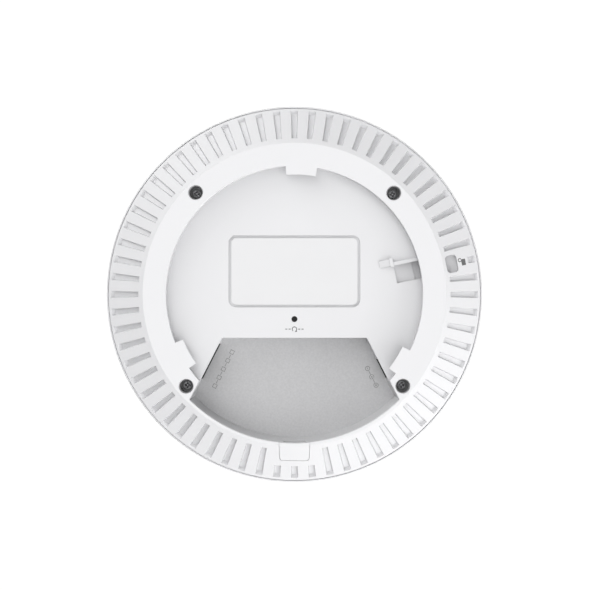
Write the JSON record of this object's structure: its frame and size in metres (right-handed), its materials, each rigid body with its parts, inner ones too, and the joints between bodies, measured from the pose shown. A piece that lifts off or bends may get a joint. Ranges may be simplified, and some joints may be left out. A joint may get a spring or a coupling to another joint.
{
  "type": "ceiling access point",
  "caption": "Round ceiling-mount wireless access point with a bayonet ring, a recessed cable bay and vent grooves.",
  "frame": {"origin": "centre of the mounting ring's flat face", "axes": "+Z points at the ceiling, out of the ring face; -Y points at the cable bay and the cable exit"},
  "size_m": [0.16, 0.16, 0.0336],
  "materials": {
    "white_shell": "satin, very fine grain",
    "white_radome": "satin",
    "grey_tray": "matt, fine grain",
    "label_film": "matt film",
    "dark_sleeve": "satin",
    "screw_steel": "dark zinc",
    "black_plastic": "matt",
    "board": "solder mask",
    "tinned_steel": "tin plate",
    "gold_contact": "gold flash",
    "ferrite": "sintered",
    "can_aluminium": "drawn can",
    "chip": "moulded epoxy",
    "thermal_pad": "soft silicone",
    "spreader_aluminium": "stamped sheet",
    "antenna_brass": "stamped sheet",
    "coax_jacket": "satin jacket",
    "led_body": "clear epoxy",
    "clear_pipe": "clear acrylic"
  },
  "bodies": {
    "access_point": {"base_cover": "white_shell", "port_bay_tray": "grey_tray", "rating_label": "label_film", "front_cover": "white_radome", "screw_sleeves": "dark_sleeve", "cover_screws": "screw_steel", "reset_switch_body": "black_plastic", "main_board": "board", "board_screws": "screw_steel", "rj45_shell": "tinned_steel", "rj45_housing": "black_plastic", "rj45_contacts": "gold_contact", "dc_jack_body": "black_plastic", "dc_jack_contacts": "gold_contact", "lan_transformer": "black_plastic", "power_inductors": "ferrite", "capacitors": "can_aluminium", "processor": "chip", "memory_chips": "chip", "radio_chips": "chip", "shield_cans": "tinned_steel", "thermal_pads": "thermal_pad", "heat_spreader": "spreader_aluminium", "antennas_low_band": "antenna_brass", "antennas_high_band": "antenna_brass", "antenna_cables": "coax_jacket", "antenna_connectors": "gold_contact", "status_led": "led_body", "light_pipe": "clear_pipe"},
    "reset_button": {"reset_plunger": "black_plastic", "reset_switch_stem": "black_plastic"},
    "exit_cover": {"cable_exit_cover": "white_shell"}
  },
  "joints": [
    {"name": "reset_press", "type": "slide", "parent": "access_point", "child": "reset_button", "axis": [0, 0, -1], "range_m": [0, 0.00025]},
    {"name": "exit_cover_lift", "type": "slide", "parent": "access_point", "child": "exit_cover", "axis": [0, 0, 1], "range_m": [0, 0.014]}
  ]
}
